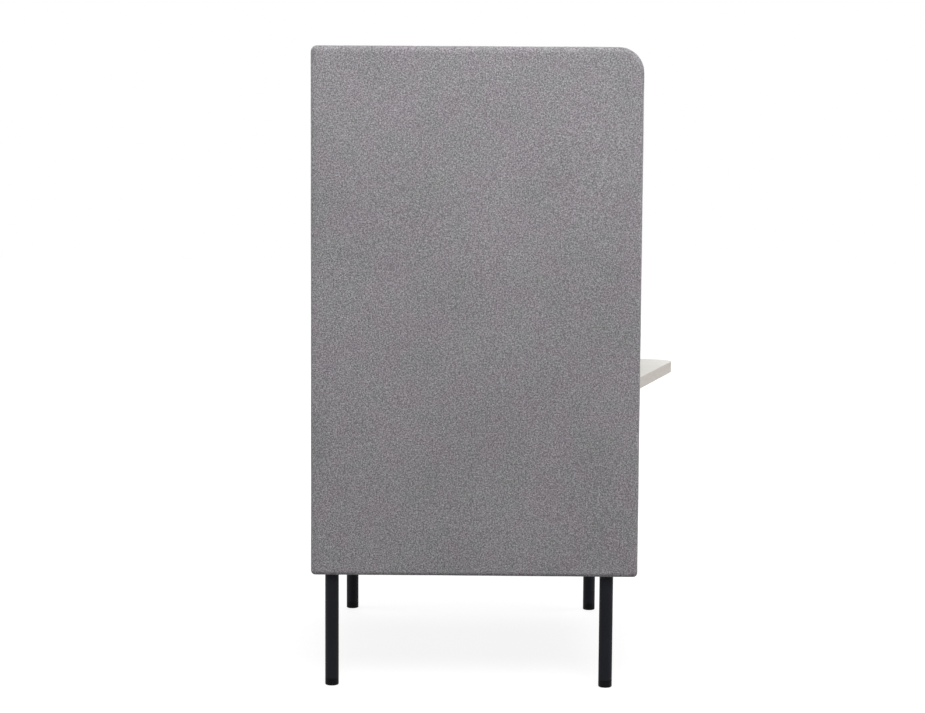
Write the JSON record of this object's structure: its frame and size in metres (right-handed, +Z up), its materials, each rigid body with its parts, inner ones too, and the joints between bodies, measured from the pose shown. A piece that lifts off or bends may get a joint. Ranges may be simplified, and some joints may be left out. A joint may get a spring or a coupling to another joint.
{
  "type": "study pod",
  "caption": "High-backed upholstered study pod for one sitter, open at the front, with a seat, a swivelling tablet table and levelling feet.",
  "frame": {"origin": "centre of the footprint box at floor level, table at rest", "axes": "+X out of the open front, +Y to the sitter's left, +Z up"},
  "size_m": [0.8305, 0.85, 1.4],
  "materials": {
    "cover_fabric": "grey melange wool weave",
    "foam": "open-cell foam",
    "board": "raw board",
    "timber": "planed timber",
    "black_steel": "black fine-textured powder coat",
    "zinc_steel": "zinc plated",
    "black_plastic": "matt",
    "nylon": "satin",
    "table_laminate": "off-white matt laminate",
    "edge_band": "grey-beige satin",
    "dust_cloth": "black non-woven",
    "strip_cloth": "touch and close strip"
  },
  "bodies": {
    "pod": {"right_frame": "timber", "right_outer_skin": "board", "right_inner_skin": "board", "right_foam": "foam", "right_cover": "cover_fabric", "left_frame": "timber", "left_outer_skin": "board", "left_inner_skin": "board", "left_foam": "foam", "left_cover": "cover_fabric", "back_frame": "timber", "back_outer_skin": "board", "back_inner_skin": "board", "back_foam": "foam", "back_cover": "cover_fabric", "frame_bolts": "zinc_steel", "barrel_nuts": "zinc_steel", "bracket_block": "timber", "seat_front_rail": "timber", "seat_rear_rail": "timber", "seat_side_rails": "timber", "seat_corner_blocks": "timber", "seat_deck": "board", "deck_screws": "zinc_steel", "seat_foam": "foam", "seat_cover": "cover_fabric", "front_pad_foam": "foam", "front_pad_cover": "cover_fabric", "dust_cover": "dust_cloth", "seat_bolts": "zinc_steel", "tee_nuts": "zinc_steel", "cushion_board": "board", "cushion_strips": "strip_cloth", "cushion_foam": "foam", "cushion_cover": "cover_fabric", "leg_front_right": "black_steel", "leg_front_left": "black_steel", "leg_rear_right": "black_steel", "leg_rear_left": "black_steel", "leg_studs": "zinc_steel", "leg_sleeve_nuts": "zinc_steel", "leg_inserts": "black_plastic", "thrust_washer": "nylon", "pivot_bushes": "nylon", "pivot_bracket": "black_steel", "bracket_bolts": "zinc_steel", "bracket_sleeves": "zinc_steel"},
    "tablet": {"table_top": "table_laminate", "table_edge_band": "edge_band", "table_plate": "black_steel", "table_screws": "zinc_steel", "pivot_shaft": "zinc_steel", "end_washer": "zinc_steel", "end_screw": "zinc_steel"},
    "foot_front_right_body": {"foot_front_right": "black_plastic"},
    "foot_front_left_body": {"foot_front_left": "black_plastic"},
    "foot_rear_right_body": {"foot_rear_right": "black_plastic"},
    "foot_rear_left_body": {"foot_rear_left": "black_plastic"}
  },
  "joints": [
    {"name": "table_swivel", "type": "hinge", "parent": "pod", "child": "tablet", "pos_m": [0.21975, -0.285, 0.63], "axis": [0, 0, -1], "range_deg": [-16, 74]},
    {"name": "level_front_right", "type": "slide", "parent": "pod", "child": "foot_front_right_body", "axis": [0, 0, -1], "range_m": [0, 0.012]},
    {"name": "level_front_left", "type": "slide", "parent": "pod", "child": "foot_front_left_body", "axis": [0, 0, -1], "range_m": [0, 0.012]},
    {"name": "level_rear_right", "type": "slide", "parent": "pod", "child": "foot_rear_right_body", "axis": [0, 0, -1], "range_m": [0, 0.012]},
    {"name": "level_rear_left", "type": "slide", "parent": "pod", "child": "foot_rear_left_body", "axis": [0, 0, -1], "range_m": [0, 0.012]}
  ]
}
